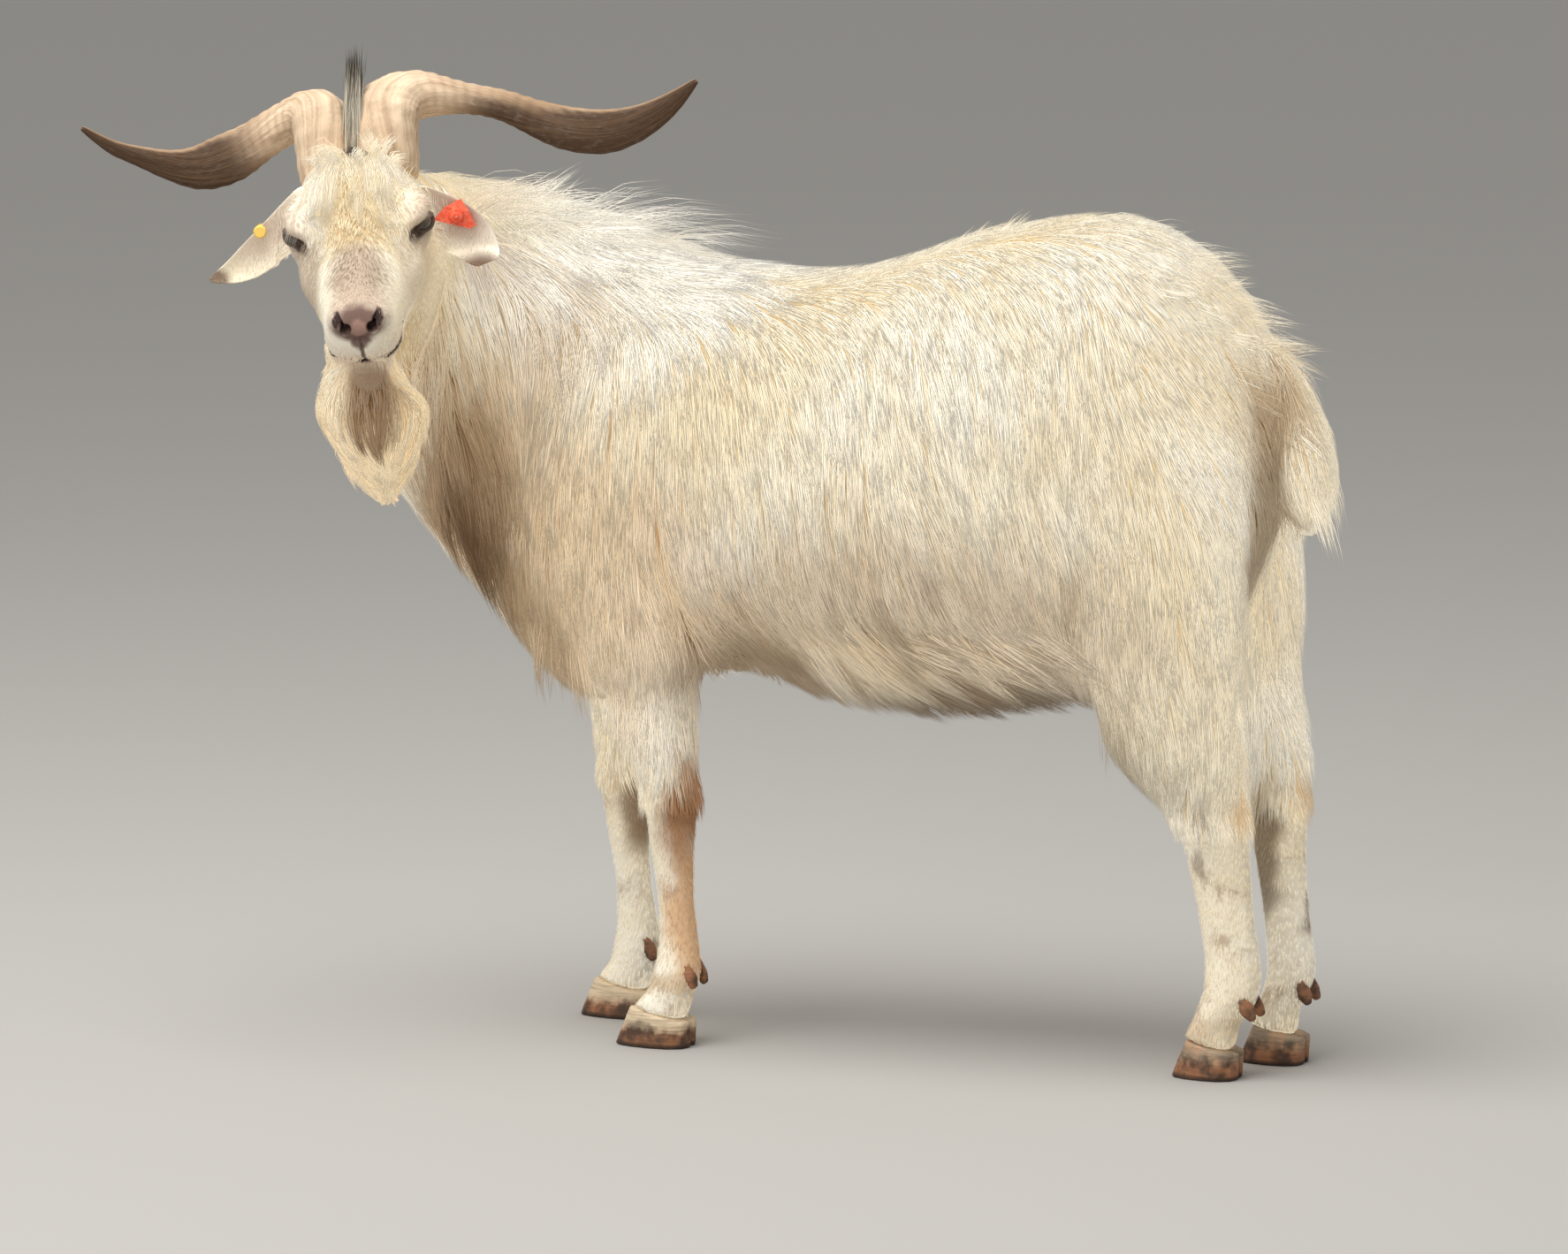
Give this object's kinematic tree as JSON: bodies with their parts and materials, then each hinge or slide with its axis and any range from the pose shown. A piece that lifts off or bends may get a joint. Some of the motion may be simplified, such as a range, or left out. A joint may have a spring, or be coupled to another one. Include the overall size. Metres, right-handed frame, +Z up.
{
  "type": "goat",
  "caption": "Life-size still model of a long-haired white billy goat, standing with its head turned back to its left, with spreading twisted horns, a beard and ear tags.",
  "frame": {"origin": "on the floor under the middle of the bounding box", "axes": "-X is the way the goat's body faces, -Y is its left side, +Z is up"},
  "size_m": [1.2166, 0.5008, 0.9585],
  "materials": {
    "coat": "long cream-white hair",
    "horn": "rough ringed horn",
    "hoof": "worn horn",
    "eye": "wet",
    "tag_orange": "satin",
    "tag_yellow": "satin"
  },
  "bodies": {
    "root": {"head": "coat", "neck": "coat", "trunk": "coat", "tail": "coat", "beard": "coat", "ear_left": "coat", "ear_right": "coat", "foreleg_left_upper": "coat", "foreleg_left_lower": "coat", "hindleg_left_upper": "coat", "hindleg_left_lower": "coat", "foreleg_right_upper": "coat", "foreleg_right_lower": "coat", "hindleg_right_upper": "coat", "hindleg_right_lower": "coat", "horn_left": "horn", "eye_left": "eye", "horn_right": "horn", "eye_right": "eye", "eartag_left": "tag_orange", "eartag_right": "tag_yellow", "hoof_front_left_outer": "hoof", "dewclaw_front_left_outer": "hoof", "hoof_front_left_inner": "hoof", "dewclaw_front_left_inner": "hoof", "hoof_front_right_outer": "hoof", "dewclaw_front_right_outer": "hoof", "hoof_front_right_inner": "hoof", "dewclaw_front_right_inner": "hoof", "hoof_hind_left_outer": "hoof", "dewclaw_hind_left_outer": "hoof", "hoof_hind_left_inner": "hoof", "dewclaw_hind_left_inner": "hoof", "hoof_hind_right_outer": "hoof", "dewclaw_hind_right_outer": "hoof", "hoof_hind_right_inner": "hoof", "dewclaw_hind_right_inner": "hoof"}
  },
  "joints": []
}
